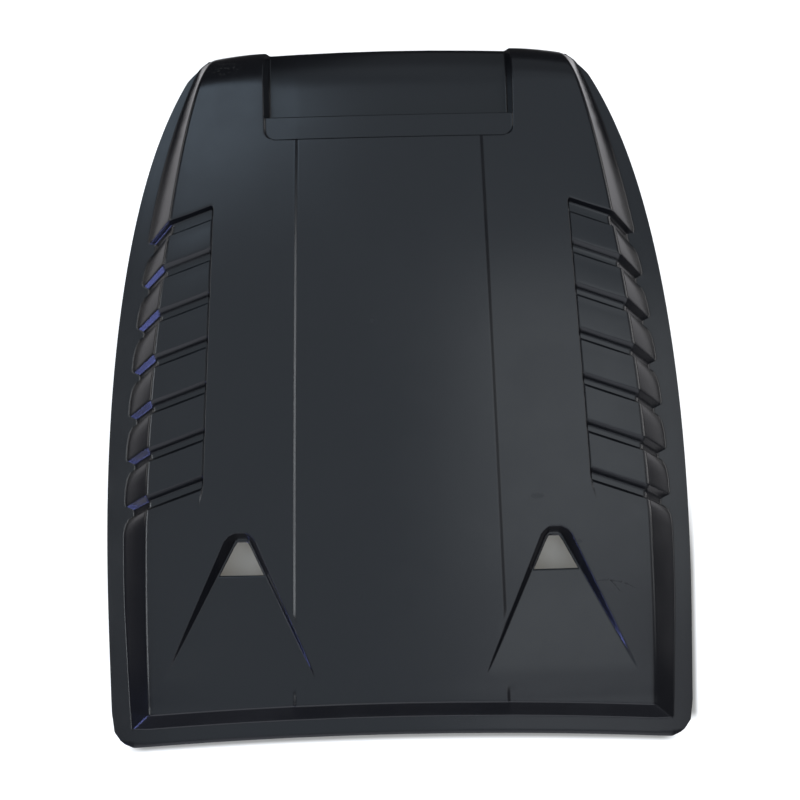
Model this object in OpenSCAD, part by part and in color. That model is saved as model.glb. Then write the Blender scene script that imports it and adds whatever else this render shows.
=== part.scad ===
// Bonnet scoop: one thin moulded shell that is bonded to a car bonnet by its flange.
// The front of the scoop points to +Y, up is +Z, and the flange underside is the bonnet surface.
// The shell is one net of rows (front to rear) and columns (left to right) with an inner skin
// set one wall thickness below it. Every row and column follows an edge of the moulding.

/* [Outline] */
// lengthwise position of the nose in the middle
front_y = 521.5; // [518:0.5:526]
// how far the side slope spreads from the shoulder to the foot at the widest place
side_slope_run = 34; // [30:0.2:38]
// width of the flange beside the side slope at the widest place
flange_side_width = 26.2; // [22:0.2:30]
// distance from the nose back to where the outline curves end
outline_end = 11.5; // [8:0.5:15]
// distance from the rear corners forward to where the flange starts to narrow
flange_taper_start = 162.5; // [140:2.5:190]
// how far the flange narrows to the nose by its long curve
flange_taper = 115; // [105:1:120]
// how far the flange narrows further at the nose itself
flange_nose_taper = 38; // [34:1:42]
// how much the flange runs out over its last length at the nose
flange_run_out = 14; // [10:1:16]
// length over which the flange runs out
flange_run_out_length = 30; // [24:1:36]
// distance from the rear corners forward to where the foot starts to narrow
foot_taper_start = 212.5; // [190:2.5:240]
// how far the foot narrows to the nose by its long curve
foot_taper = 104; // [100:1:110]
// how far the foot narrows further at the nose itself
foot_nose_taper = 29; // [26:1:34]
// how much the foot runs out at the very nose
foot_run_out = 7; // [5:0.5:9]
// length over which the foot runs out
foot_run_out_length = 10; // [8:0.5:14]
// how much narrower the foot is at the rear end
foot_rear_taper = 4; // [2:0.5:6]
// distance from the rear corners forward to where the shoulder starts to narrow
shoulder_taper_start = 12.5; // [8:0.5:20]
// how far the shoulder narrows to the nose by its long curve
shoulder_taper = 104; // [98:1:110]
// how far the shoulder narrows further at the nose itself
shoulder_nose_taper = 14; // [8:1:20]
// wall thickness of the moulding
wall = 3; // [2.5:0.1:3.5]
// thickness of the flange
flange_thickness = 3; // [2.5:0.1:3.5]
// radius of the flange corners at the rear
rear_corner_radius = 40; // [34:1:46]
// width of flange that is left at the nose
tip_flange = 1.5; // [1:0.1:3]

/* [Bonnet curve] */
// radius of the bonnet across the car
bonnet_cross_radius = 5000; // [4600:50:6500]
// radius of the bonnet along the car
bonnet_long_radius = 6500; // [6000:50:9000]
// distance from the rear corners forward to the highest point of the bonnet
bonnet_crest = 451.5; // [430:0.5:470]

/* [Height] */
// height of the top surface above the bonnet at the nose
front_height = 52; // [46:1:58]
// height of the top surface above the bonnet at the rear
rear_height = 22; // [19:1:26]
// how early the height builds up from the rear, below 1 is early
rise_power = 0.75; // [0.65:0.05:1]
// how far the middle panel stands above the rest of the top
panel_raise = 1.3; // [0.8:0.1:2.5]
// width of the sloped step beside the middle panel
panel_step = 6.5; // [4:0.5:8]
// width of that step where it fades out between the legs of a vent
panel_fade = 60; // [40:5:70]
// distance from the front of a vent back to where it fades out
panel_fade_start = 112; // [100:1:130]
// half width of the middle panel at its front end
panel_front_half_width = 133.5; // [130:0.5:137]
// how much further out the edge of the panel lies at its rear end
panel_spread = 23.5; // [18:0.5:28]

/* [Mouth] */
// width of the top between the panel and the mouth, or how much wider the mouth is on each side
mouth_margin = 46.8; // [42:0.2:50]
// how far the mouth side walls lean inwards from top to foot
mouth_wall_run = 5.3; // [4:0.1:7]
// height of the mouth floor above the bonnet
mouth_floor_height = 15; // [12:0.5:18]
// length of the mouth floor from the nose to the lip
mouth_length = 107.9; // [100:0.1:114]
// lengthwise width of the lip
lip_width = 33.9; // [28:0.1:38]
// how far the lip lies below the top surface
lip_drop = 2.5; // [1.5:0.1:3.5]
// lengthwise run of the small step behind the lip
lip_step_run = 1.4; // [1:0.1:2.5]
// how far the closed wall below the lip leans forward
lip_wall_run = 2.6; // [1.5:0.1:5]
// radius of the two rear corners of the mouth in plan
lip_corner_radius = 13; // [9:0.5:16]
// how far the nose reaches back before it is level
nose_reach = 60; // [50:1:66]
// how far the mouth floor bows back at its sides
floor_bow = 3.3; // [2:0.1:5]
// how far an arm stands back from the middle of the nose at its inner side
arm_step = 0.6; // [0.2:0.1:2]
// how far an arm curves back over the length given next
arm_bow = 7.4; // [5:0.2:9]
// width from the mouth over which the arms curve back by that
arm_bow_width = 78; // [72:1:84]

/* [Louvres] */
// number of grooves on each side
groove_count = 7; // [7:1:7]
// distance from the lip back to the rear edge of the first groove
first_groove_start = 112.4; // [100:0.1:120]
// distance from the first groove to the second
groove_pitch = 59.4; // [58.6:0.1:60]
// growth of that distance from each groove to the next
groove_pitch_growth = 2.3; // [2:0.05:2.5]
// depth of a groove below the top surface
groove_depth = 9.5; // [8:0.1:11]
// lengthwise run of the front wall of the middle groove
middle_wall_run = 3.6; // [3:0.1:5]
// lengthwise run of the front wall of the first and the last groove
end_wall_run = 6.2; // [5:0.1:7.5]
// lengthwise width of the groove floor
groove_floor = 14.6; // [12:0.1:16]
// lengthwise run of the steep step at the rear of a groove
groove_step_run = 1.6; // [1.2:0.1:2.5]
// how far the front edge of each slat lies below the top surface
slat_front_drop = 1.7; // [0.8:0.1:2.2]
// how far the rear edge of each slat lies below the top surface
slat_rear_drop = 0.8; // [0.2:0.1:1.4]
// how far the corner of a groove end is rounded, seen from above
groove_end_round = 5.5; // [3:0.5:6.5]
// how far the foot of a slat is tucked in at its front edge
slat_tuck = 8; // [5:0.5:9]
// width of the arm between the mouth and the inner end of the first groove
arm_width = 75.7; // [70:0.1:82]
// how much further out the last groove starts than the first
bank_spread = 25.5; // [20:0.5:30]
// width from the inner end of the last groove out to the shoulder at its widest
slat_width = 93.1; // [86:0.1:100]
// width of the sloped inner end of a groove
bank_wall_run = 2.6; // [2:0.1:3.5]
// rearward slant of the grooves on the top, per unit of width
top_slant = 0.35; // [0.31:0.01:0.38]
// rearward slant of the first groove down the side
first_side_slant = 0.86; // [0.8:0.01:0.9]
// rearward slant of the last groove down the side
last_side_slant = 0.5; // [0.46:0.01:0.56]

/* [Vents] */
// distance from the last groove back to the front end of a vent
vent_start = 64.4; // [56:0.1:72]
// length of a vent from its front end to where the ramp comes level with the top
vent_length = 214; // [200:1:225]
// width of a vent at its front end
vent_front_width = 34.2; // [30:0.2:40]
// how much further in the front end of a vent lies than the inner end of the last groove
vent_front_margin = 34.3; // [30:0.1:40]
// how far the inner corner at the rear of a vent reaches in over the edge of the panel
vent_overlap = 32; // [26:0.5:36]
// width of plain top between the outer corner at the rear of a vent and the shoulder
vent_shoulder_margin = 26; // [22:0.5:30]
// depth of the vent at its front end
vent_depth = 22; // [18:0.5:24]
// lean of the vent walls from upright in degrees
vent_wall_lean = 22; // [18:1:26]
// lengthwise run of the wall at the front of a vent
vent_front_run = 10.5; // [8:0.5:12]
// how far the front corners of a vent are rounded, seen from above
vent_round = 4.5; // [3:0.5:5.5]
// width of the ledge round the hole in a vent
hole_margin = 3.2; // [2.5:0.1:4.5]
// distance from the front end of a vent back to the rear edge of its hole
hole_reach = 64.5; // [56:0.5:72]

/* [Rear] */
// length of plain top between the vents and the rear slope
rear_top_length = 40.8; // [36:0.2:46]
// lengthwise distance from the rear flange edge to the foot of the rear slope
rear_flange_width = 26.6; // [23:0.2:29]
// lengthwise run of the rear slope
rear_slope_run = 25.6; // [22:0.2:29]
// how far the rear edge bows forward in the middle
rear_bow = 17.5; // [14:0.5:21]

/* [Hidden] */

shell_colour = [0.13, 0.14, 0.17];

// powers of the outline curves: the long narrowing, and the narrowing at the nose itself
flange_powers = [2.42, 8.6];
foot_powers = [2.03, 7.5];
shoulder_powers = [2.44, 18];
run_out_power = 1.5;
arm_power = 1.8;

// angles of the nose rows, from its lowest edge up to level
nose_angles = [90, 78, 65, 50, 35, 18, 0];
// places along the rounded rear corner of the mouth, as shares of its radius
lip_corner_places = [1, 0.5, 0.12];
// lengths behind the front edge of a slat, and the share of the tuck that is left at each
tuck_near = 5;
tuck_far = 11;
tuck_near_share = 0.38;
tuck_far_share = 0.09;
// share of the tuck at the rear edge of a slat
rear_tuck = 0.25;
// angles round the rear corner: slope foot, middle of the flange, rear edge, and the foot column
corner_angles = [22.5, 45, 56, 78];
// plain top between the inner end of a groove and the column beside it
bank_margin = 18;
// width over which the top beside a groove end comes back to level
bank_blend = 5.5;

// plain top left beside the outer end of a vent, and the width of its walls at the end
leg_margin = 5;
vent_end_wall = 1.5;
// how much of the vent wall width shows at the front edge, seen from above
apex_share = 0.7;
// width of the plain strips behind the vents
behind_inner = 90;
behind_outer = 50;
slope_foot_share = 0.6;

// rows between two edges, as shares of the length from the front one to the rear one
arm_rows = [0.33, 0.67];
before_vent_row = 0.6;
ramp_rows = [0.25, 0.5, 0.75];
rear_flange_row = 0.65;
// share of the rear bow that the two rows ahead of the rear slope already have
early_bow = [0.3, 0.8];
// share of the groove end rounding at the foot of its wall
bank_foot_bend = 0.45;
// shares of the vent rounding at the foot of its front wall and at the hole
vent_foot_bend = 0.6;
hole_bend = 0.5;
// least cosine that the inner skin is set in by, so that no corner of it runs far out
least_cosine = 0.5;
// shortest length that a direction is still worked out from
shortest = 0.000001;

// half widths, each a strip further out than the one before
mouth_half_width = panel_front_half_width + mouth_margin;
panel_rear_half_width = panel_front_half_width + panel_spread;
bank_front_half_width = mouth_half_width + arm_width;
bank_rear_half_width = bank_front_half_width + bank_spread;
shoulder_half_width = bank_rear_half_width + slat_width;
foot_half_width = shoulder_half_width + side_slope_run;
flange_half_width = foot_half_width + flange_side_width;
vent_front_outer = bank_rear_half_width - vent_front_margin;
vent_front_inner = vent_front_outer - vent_front_width;
vent_rear_inner = panel_rear_half_width - vent_overlap;
vent_rear_outer = shoulder_half_width - vent_shoulder_margin;
// angle at which the inner legs of the vents run away from the length of the scoop
vent_leg_angle = atan((vent_front_inner - vent_rear_inner) / vent_length);

// lengthwise positions, each a length further back than the one before
outline_end_y = front_y - outline_end;
lip_front_y = front_y - mouth_length;
lip_rear_y = lip_front_y - lip_width;
first_groove_y = lip_rear_y - first_groove_start;
last_groove_y = groove_y(groove_count - 1);
vent_front_y = last_groove_y - vent_start;
hole_rear_y = vent_front_y - hole_reach;
vent_rear_y = vent_front_y - vent_length;
panel_fade_y = vent_front_y - panel_fade_start;
slope_top_y = vent_rear_y - rear_top_length;
slope_foot_y = slope_top_y - rear_slope_run;
rear_edge_y = slope_foot_y - rear_flange_width;
rear_y = rear_edge_y - rear_bow;
flange_taper_y = rear_y + flange_taper_start;
foot_taper_y = rear_y + foot_taper_start;
shoulder_taper_y = rear_y + shoulder_taper_start;
bonnet_crest_y = rear_y + bonnet_crest;
panel_return_y = lerp(vent_rear_y, slope_top_y, slope_foot_share);
corner_centre = [flange_half_width - rear_corner_radius, rear_y + rear_corner_radius];
middle_groove = (groove_count - 1) / 2;
bank_front_y = groove_front_y(0);
slant_front_y = lip_front_y + groove_floor;
level_y = front_y - nose_reach;
mouth_foot_y = lip_front_y + lip_wall_run;
lip_step_y = lip_rear_y + lip_step_run;
vent_foot_y = vent_front_y - vent_front_run;
hole_front_y = vent_foot_y - hole_margin;

// short maths used below
function lerp(a, b, t) = a + (b - a) * t;
function part(t) = max(0, min(1, t));
function between(value, from, to) = part((value - from) / (to - from));

// bonnet surface, lifted so that its lowest point under the shell is at zero
function bonnet_fall(x, y) = x * x / (2 * bonnet_cross_radius)
    + (y - bonnet_crest_y) * (y - bonnet_crest_y) / (2 * bonnet_long_radius);
corner_tip = corner_point(45);
crest_height = max(bonnet_fall(foot_half(outline_end_y) + tip_flange, outline_end_y),
    bonnet_fall(corner_tip.x, corner_tip.y));
function bonnet(x, y) = crest_height - bonnet_fall(x, y);

// outline curves: half widths of flange, foot and shoulder at a lengthwise position
function narrowing(y, start_y, powers, long_taper, nose_taper) =
    let (t = between(y, start_y, outline_end_y))
    long_taper * pow(t, powers[0]) + nose_taper * pow(t, powers[1]);
function run_out(y, reach) = pow(max(y - outline_end_y + reach, 0) / reach, run_out_power);
function flange_half(y) = flange_half_width
    - narrowing(y, flange_taper_y, flange_powers, flange_taper, flange_nose_taper)
    - flange_run_out * run_out(y, flange_run_out_length);
function foot_half(y) = foot_half_width
    - narrowing(y, foot_taper_y, foot_powers, foot_taper, foot_nose_taper)
    - foot_run_out * run_out(y, foot_run_out_length)
    - foot_rear_taper * between(y, foot_taper_y, shoulder_taper_y);
function shoulder_half(y) = shoulder_half_width
    - narrowing(y, shoulder_taper_y, shoulder_powers, shoulder_taper, shoulder_nose_taper);

// height of the top surface above the bonnet, and the small raise of the middle panel
function rise(y) = lerp(rear_height, front_height,
    pow(between(y, slope_top_y, outline_end_y), rise_power));
function panel_half(y) = lerp(panel_rear_half_width, panel_front_half_width,
    between(y, slope_top_y, lip_rear_y));
function step_width(y, col) = col < wall_outer || y > panel_fade_y ? panel_step
    : lerp(panel_fade, panel_step, between(y, vent_rear_y, panel_return_y));
function raise(x, y, col) = y > lip_rear_y + lip_step_run / 2 ? 0
    : panel_raise * part(0.5 - (x - panel_half(y)) / step_width(y, col));

// slanted rows: how much of the slant a row has, and its slant down the side
function slant_share(y) = min(between(y, slant_front_y, bank_front_y),
    between(y, slope_top_y, last_groove_y));
function side_slant(y) = lerp(last_side_slant, first_side_slant,
    between(y, last_groove_y, first_groove_y));

// columns at the inner part of the top, as half widths at a lengthwise position
function bank_half(y) = y > last_groove_y
    ? lerp(bank_rear_half_width, bank_front_half_width,
        (y - last_groove_y) / (bank_front_y - last_groove_y))
    : lerp(bank_rear_half_width, vent_rear_outer + leg_margin, between(y, last_groove_y, vent_rear_y));
function leg_inner(y) = y > vent_front_y
    ? lerp(mouth_half_width - mouth_wall_run, vent_front_inner, between(y, lip_front_y, vent_front_y))
    : y >= vent_rear_y
    ? lerp(vent_front_inner, vent_rear_inner, between(y, vent_front_y, vent_rear_y))
    : lerp(vent_rear_inner, panel_rear_half_width + 2 * panel_step,
        between(y, vent_rear_y, panel_return_y));
function leg_outer(y) = y > vent_front_y
    ? lerp(bank_half(y) - bank_margin, vent_front_outer, between(y, lip_front_y, vent_front_y))
    : lerp(vent_front_outer, vent_rear_outer, between(y, vent_front_y, vent_rear_y));
function vent_sink(y) = vent_depth * between(y, vent_rear_y, vent_foot_y);
function vent_wall(y) = vent_end_wall + vent_depth * tan(vent_wall_lean) / cos(vent_leg_angle)
    * between(y, vent_rear_y, vent_front_y);

// what the values of a row stand for: its position along the scoop, the angle at the nose, the
// level of the middle, the groove share, the part of the vent, the bow share, the part of the rear,
// how far the mouth corner has come in, which way a groove end bends, and the share of the tuck
at_y = 0;
at_angle = 1;
at_level = 2;
at_groove = 3;
at_vent = 4;
at_bow = 5;
at_rear = 6;
at_corner = 7;
at_bend = 8;
at_tuck = 9;
// levels of the middle
top_level = 0;
lip_level = 1;
mouth_level = 2;
// parts of a vent
no_vent = 0;
vent_edge = 1;
vent_foot = 2;
hole_start = 3;
ramp = 4;
// parts of the rear
on_shell = 0;
slope_foot = 1;
flange_middle = 2;
rear_edge = 3;
function plain_row(y) = [y, 0, top_level, 0, no_vent, 0, on_shell, 0, 0, 0];
function mouth_row(y, angle) = [y, angle, mouth_level, 0, no_vent, 0, on_shell, 0, 0, 0];
function lip_row(y, corner) = [y, 0, lip_level, 0, no_vent, 0, on_shell, corner, 0, 0];
function groove_row(y, share, bend, tuck) =
    [y, 0, top_level, share, no_vent, 0, on_shell, 0, bend, tuck];
function vent_row(y, vent) = [y, 0, top_level, 0, vent, 0, on_shell, 0, 0, 0];
function rear_row(y, bow_share, rear) = [y, 0, top_level, 0, no_vent, bow_share, rear, 0, 0, 0];

nose_rows = [for (a = nose_angles) mouth_row(level_y + nose_reach * sin(a), a)];
lip_rows = [
    mouth_row((level_y + lip_front_y) / 2, 0),
    mouth_row(mouth_foot_y, 0),
    lip_row(lip_front_y, 0),
    for (place = lip_corner_places)
        lip_row(lip_step_y + lip_corner_radius * place, 1 - sin(acos(1 - place))),
    lip_row(lip_step_y, 1),
    [lip_rear_y, 0, top_level, 0, no_vent, 0, on_shell, 1, 0, 0],
    for (share = arm_rows) plain_row(lerp(lip_rear_y, bank_front_y, share))];

// grooves, front to rear: rear edge of one slat, floor, and the lowered front edge of the next
function groove_y(i) = first_groove_y - i * groove_pitch - groove_pitch_growth * i * (i - 1) / 2;
function groove_wall_run(i) = lerp(middle_wall_run, end_wall_run, pow(i / middle_groove - 1, 2));
function groove_foot_y(i) = groove_y(i) + groove_step_run + groove_floor;
function groove_front_y(i) = groove_foot_y(i) + groove_wall_run(i);
function slat_share(i) = i == 0 ? 0 : slat_rear_drop / groove_depth;
front_share = slat_front_drop / groove_depth;
groove_rows = [for (i = [0:groove_count - 1])
    let (y = groove_y(i))
    each [
        groove_row(groove_front_y(i), slat_share(i), -1, rear_tuck),
        groove_row(groove_foot_y(i), 1, -1, 0),
        groove_row(y + groove_step_run, 1, 1, 0),
        groove_row(y, front_share, 1, 1),
        groove_row(y - tuck_near, front_share, 0, tuck_near_share),
        groove_row(y - tuck_far, front_share, 0, tuck_far_share)]];

vent_rows = [
    plain_row(lerp(last_groove_y, vent_front_y, before_vent_row)),
    vent_row(vent_front_y, vent_edge),
    vent_row(vent_foot_y, vent_foot),
    vent_row(hole_front_y, hole_start),
    vent_row((hole_front_y + hole_rear_y) / 2, ramp),
    vent_row(hole_rear_y, ramp),
    for (share = ramp_rows) vent_row(lerp(hole_rear_y, vent_rear_y, share), ramp),
    plain_row(vent_rear_y)];
slope_foot_row = rear_row(slope_foot_y, 1, slope_foot);
rear_rows = [
    rear_row(panel_return_y, early_bow[0], on_shell),
    rear_row((panel_return_y + slope_top_y) / 2, early_bow[1], on_shell),
    rear_row(slope_top_y, 1, on_shell),
    slope_foot_row,
    rear_row(lerp(slope_foot_y, rear_edge_y, rear_flange_row), 1, flange_middle),
    rear_row(rear_edge_y, 1, rear_edge)];
rows = concat(nose_rows, lip_rows, groove_rows, vent_rows, rear_rows);
row_count = len(rows);
hole_first_row = len([for (row = rows) if (row[at_y] > hole_front_y) 1]);
hole_last_row = hole_first_row + 2;

// columns of one half, counted outwards from the middle
middle = 0;
panel_middle = 1;
panel_inner = 2;
panel_outer = 3;
wall_inner = 4;
wall_outer = 5;
hole_inner = 6;
hole_outer = 7;
leg_foot = 8;
leg_edge = 9;
bank_edge = 10;
bank_foot = 11;
bank_round = 12;
slat_middle = 13;
shoulder = 14;
foot = 15;
rim = 16;

// bow of the rear rows, and how far the nose lies back at a half width
function bow(x) = -rear_bow * (x * x) / (foot_half_width * foot_half_width);
function floor_fall(x) = floor_bow * pow(x / (mouth_half_width - mouth_wall_run), 2);
function arm_fall(x) = arm_step + arm_bow * pow(max(x - mouth_half_width, 0) / arm_bow_width, arm_power);
function nose_fall(x) = x > mouth_half_width - mouth_wall_run / 2 ? arm_fall(x) : floor_fall(x);
function along(row, x) = row[at_y] + row[at_bow] * bow(x)
    - nose_fall(x) * between(row[at_y], mouth_foot_y, front_y);

// half widths of the two sides of a vent recess, and of the plain columns ahead of and behind it
function recess_inner(y) = y >= vent_front_y
    ? lerp(mouth_half_width, vent_front_inner + vent_wall(vent_front_y) * apex_share,
        between(y, lip_rear_y, vent_front_y))
    : lerp(leg_inner(y) + vent_wall(y), vent_rear_inner + behind_inner,
        between(y, vent_rear_y, panel_return_y));
function recess_outer(y) = y >= vent_front_y
    ? lerp(bank_half(y) - 2 * bank_margin, vent_front_outer - vent_wall(vent_front_y) * apex_share,
        between(y, lip_rear_y, vent_front_y))
    : lerp(leg_outer(y) - vent_wall(y), vent_rear_outer - behind_outer,
        between(y, vent_rear_y, panel_return_y));
function corner_inset(row) = lip_corner_radius * row[at_corner];
function near_hole(y) = min(between(y, last_groove_y, vent_front_y),
    between(y, vent_rear_y, hole_rear_y));
function margin(y, inner, outer) = lerp((outer - inner) / 3, hole_margin, near_hole(y));

// half width of an inner column in a row
function inner_half(row, col) =
    let (y = row[at_y])
    let (leg_in = leg_inner(y))
    let (inner = recess_inner(y) - corner_inset(row))
    let (outer = recess_outer(y))
    col == middle ? 0
    : col == panel_middle ? 0.5 * (panel_half(y) - panel_step / 2)
    : col == panel_inner ? min(panel_half(y) - panel_step / 2, leg_in - 2 * panel_step)
    : col == panel_outer ? min(panel_half(y) + panel_step / 2, leg_in - panel_step)
    : col == wall_inner && row[at_level] == lip_level ? mouth_half_width - lip_step_run - corner_inset(row)
    : col == wall_inner ? leg_in - corner_inset(row)
    : col == wall_outer ? inner
    : col == hole_inner ? inner + margin(y, inner, outer)
    : col == hole_outer ? outer - margin(y, inner, outer)
    : col == leg_foot ? outer
    : col == leg_edge ? leg_outer(y)
    : bank_half(y);

// how far an edge bends lengthwise where it rounds a groove end or a front corner of a vent
function corner_bend(row, col) =
    col == bank_edge ? row[at_bend] * groove_end_round
    : row[at_vent] == vent_edge && (col == wall_inner || col == leg_edge) ? -vent_round
    : row[at_vent] == vent_foot && (col == wall_outer || col == leg_foot) ? -vent_foot_bend * vent_round
    : row[at_vent] == hole_start && (col == hole_inner || col == hole_outer) ? -hole_bend * vent_round
    : 0;

// outer part of a row: slanted back over the slats and steeper down the side
function side_lean(y) = (foot_half(y) - shoulder_half(y)) / (rise(y) - flange_thickness);
function outer_points(row) =
    let (y = row[at_y])
    let (share = slant_share(y))
    let (guess = shoulder_half(y))
    let (shoulder_y = along(row, guess) - share * top_slant * (guess - bank_half(y)))
    let (lean = side_lean(shoulder_y))
    let (deep = row[at_groove] * groove_depth)
    let (inset = deep * sqrt(1 + lean * lean))
    let (foot_inset = inset + row[at_tuck] * slat_tuck)
    let (shoulder_x = shoulder_half(shoulder_y) - inset + deep * lean)
    let (side = foot_half(shoulder_y) - foot_inset - shoulder_x)
    let (slanted_y = shoulder_y - share * side_slant(y) * side)
    let (further_fall = nose_fall(foot_half(slanted_y)) - nose_fall(guess))
    let (foot_y = slanted_y - further_fall * between(y, lip_front_y, front_y))
    [[shoulder_x, shoulder_y], [foot_half(foot_y) - foot_inset, foot_y]];

// points round the rear corner of the flange
function corner_point(angle) = corner_centre + rear_corner_radius * [cos(angle), -sin(angle)];
function rear_foot(row) = row[at_rear] == rear_edge ? corner_point(corner_angles[3])
    : row[at_rear] == flange_middle
    ? lerp(outer_points(slope_foot_row)[1], corner_point(corner_angles[3]), slope_foot_share)
    : outer_points(row)[1];
function rim_point(row) = row[at_rear] > on_shell ? corner_point(corner_angles[row[at_rear] - 1])
    : let (p = outer_points(row)[1])
    [max(flange_half(p.y), p.x + tip_flange), p.y];

// position in plan of any node of the net
function slanted(row, x) =
    let (slant = slant_share(row[at_y]) * top_slant)
    [x, along(row, x) - slant * (x - bank_half(row[at_y]))];
function plan_point(row, col) =
    let (bank = bank_half(row[at_y]))
    let (blend_x = bank + bank_wall_run + bank_blend)
    col <= bank_edge
    ? let (x = inner_half(row, col)) [x, along(row, x) + corner_bend(row, col)]
    : col == bank_foot
    ? slanted(row, bank + bank_wall_run) + [0, bank_foot_bend * row[at_bend] * groove_end_round]
    : col == bank_round ? slanted(row, blend_x)
    : col == slat_middle ? slanted(row, (blend_x + outer_points(row)[0].x) / 2)
    : col == shoulder ? outer_points(row)[0]
    : col == foot ? rear_foot(row)
    : rim_point(row);

// height above the bonnet of any node of the net
function level(row, col, p) =
    col >= foot || row[at_rear] > on_shell ? flange_thickness
    : let (top = rise(p.y) + raise(p.x, p.y, col))
    let (pocket = row[at_level] == mouth_level ? mouth_floor_height
        : row[at_level] == lip_level ? top - lip_drop : top)
    let (height = col <= wall_inner ? pocket
        : col >= bank_foot ? top - row[at_groove] * groove_depth
        : row[at_vent] > vent_edge && col >= wall_outer && col <= leg_foot ? top - vent_sink(row[at_y])
        : top)
    height * cos(row[at_angle]);

function outer_node(row, col) =
    let (p = plan_point(row, abs(col)))
    [sign(col) * p.x, p.y, bonnet(p.x, p.y) + level(row, abs(col), p)];

column_count = 2 * rim + 1;
outer_net = [for (row = rows) [for (col = [-rim:rim]) outer_node(row, col)]];

// cells of the net, without the holes in the vents
function solid(r, c) = r >= 0 && r < row_count - 1 && c >= 0 && c < column_count - 1
    && !(r >= hole_first_row && r < hole_last_row && in_hole(abs(c + 0.5 - rim)));
function in_hole(c) = c > hole_inner && c < hole_outer;

// inner skin: each node is moved in by the wall thickness, square to the faces around it
function unit(v) = v / max(norm(v), shortest);
function corner_normal(r, c, dr, dc) =
    let (here = outer_net[r][c])
    let (n = cross(outer_net[r][c + dc] - here, outer_net[r + dr][c] - here))
    unit(n * (-dr * dc));
function face_normals(r, c) = [for (dr = [-1, 1]) for (dc = [-1, 1])
    if (solid(dr > 0 ? r : r - 1, dc > 0 ? c : c - 1)) corner_normal(r, c, dr, dc)];
function solid_around(r, c) = solid(r, c) || solid(r - 1, c) || solid(r, c - 1) || solid(r - 1, c - 1);
function total(list, i = 0) = i >= len(list) ? [0, 0, 0] : list[i] + total(list, i + 1);
function on_edge(r, c) = r == 0 || r == row_count - 1 || c == 0 || c == column_count - 1;
function inner_node(r, c) =
    let (faces = concat(face_normals(r, c), solid_around(r, c) ? [] : [[0, 0, 1]]))
    let (n = unit(total(faces)))
    let (least = min([for (f = faces) f * n]))
    let (p = outer_net[r][c] - n * wall / max(least, least_cosine))
    on_edge(r, c) ? [p.x, p.y, bonnet(p.x, p.y)] : p;

inner_net = [for (r = [0:row_count - 1]) [for (c = [0:column_count - 1]) inner_node(r, c)]];

// faces: both skins, and a rim wherever a cell has no neighbour
function index(r, c) = r * column_count + c;
inner_start = row_count * column_count;
function flip(r, c) = (c < rim) != (rows[r][at_y] > bank_front_y);
function cell_faces(r, c) =
    let (a = index(r, c))
    let (b = index(r, c + 1))
    let (d = index(r + 1, c))
    let (e = index(r + 1, c + 1))
    flip(r, c) ? [[a, b, d], [b, e, d]] : [[a, b, e], [a, e, d]];
function back(face) = [face[2] + inner_start, face[1] + inner_start, face[0] + inner_start];
function rim_faces(p, q) = [[q, p, p + inner_start], [q, p + inner_start, q + inner_start]];
shell_faces = [for (r = [0:row_count - 2]) for (c = [0:column_count - 2]) if (solid(r, c))
    each concat(
        cell_faces(r, c),
        [for (face = cell_faces(r, c)) back(face)],
        solid(r - 1, c) ? [] : rim_faces(index(r, c), index(r, c + 1)),
        solid(r, c + 1) ? [] : rim_faces(index(r, c + 1), index(r + 1, c + 1)),
        solid(r + 1, c) ? [] : rim_faces(index(r + 1, c + 1), index(r + 1, c)),
        solid(r, c - 1) ? [] : rim_faces(index(r + 1, c), index(r, c)))];
shell_points = concat([for (row = outer_net) each row], [for (row = inner_net) each row]);

// the whole moulding, with the middle of its footprint on the origin
footprint_middle_y = (front_y + corner_point(corner_angles[3]).y) / 2;
module scoop_shell() {
    color(shell_colour)
    translate([0, -footprint_middle_y, 0])
    polyhedron(points = shell_points, faces = shell_faces, convexity = 12);
}

scoop_shell();
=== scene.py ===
# %% [markdown]
# # A bonnet scoop, built from one net of rows and columns
#
# A bonnet scoop is a thin plastic moulding that is glued over a car's bonnet. This one has a blind
# mouth at the nose, seven louvres down each side and two wedge-shaped vents at the rear. It could
# be made from a block with cuts and a Bevel modifier, but the louvres cross a bend of the surface
# at a slant, and cuts leave slivers there that a bevel can't get past. So its skin is one grid of
# points. Rows run from side to side, one behind the other from the nose to the rear. Columns run
# from the nose to the rear, side by side from rim to rim. Each follows an edge of the moulding.
# Edges are then rounded with short arcs, an inner skin is set one wall below, and the two skins
# are joined at the rim and round the vent holes.

import math

import bpy
import numpy as np
from mathutils import Matrix, Vector


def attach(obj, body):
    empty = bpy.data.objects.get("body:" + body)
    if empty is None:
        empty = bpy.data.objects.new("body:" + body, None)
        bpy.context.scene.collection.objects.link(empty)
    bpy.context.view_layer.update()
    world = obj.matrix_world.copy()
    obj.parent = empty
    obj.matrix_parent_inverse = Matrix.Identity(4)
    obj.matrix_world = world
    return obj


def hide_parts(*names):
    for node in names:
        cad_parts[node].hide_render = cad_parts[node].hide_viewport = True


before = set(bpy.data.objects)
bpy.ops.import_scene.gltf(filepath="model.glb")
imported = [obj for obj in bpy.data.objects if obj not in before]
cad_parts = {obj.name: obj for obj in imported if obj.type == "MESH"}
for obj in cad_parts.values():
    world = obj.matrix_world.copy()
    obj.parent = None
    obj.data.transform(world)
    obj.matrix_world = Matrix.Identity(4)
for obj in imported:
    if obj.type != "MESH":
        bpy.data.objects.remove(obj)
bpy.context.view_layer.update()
MM = 0.001

# %% [markdown]
# ## Sizes
#
# Each size of the moulding is named once, in millimetres, so that a louvre or a vent can be moved
# without a search through the code. +Y is the nose, +X the right side and +Z up from the bonnet.
# A name with FRONT or REAR is a place on Y, unless it is a height, a drop or a half width there. A
# HALF is a half width, measured out from the middle. A RUN is how far a slope reaches in plan.

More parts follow.
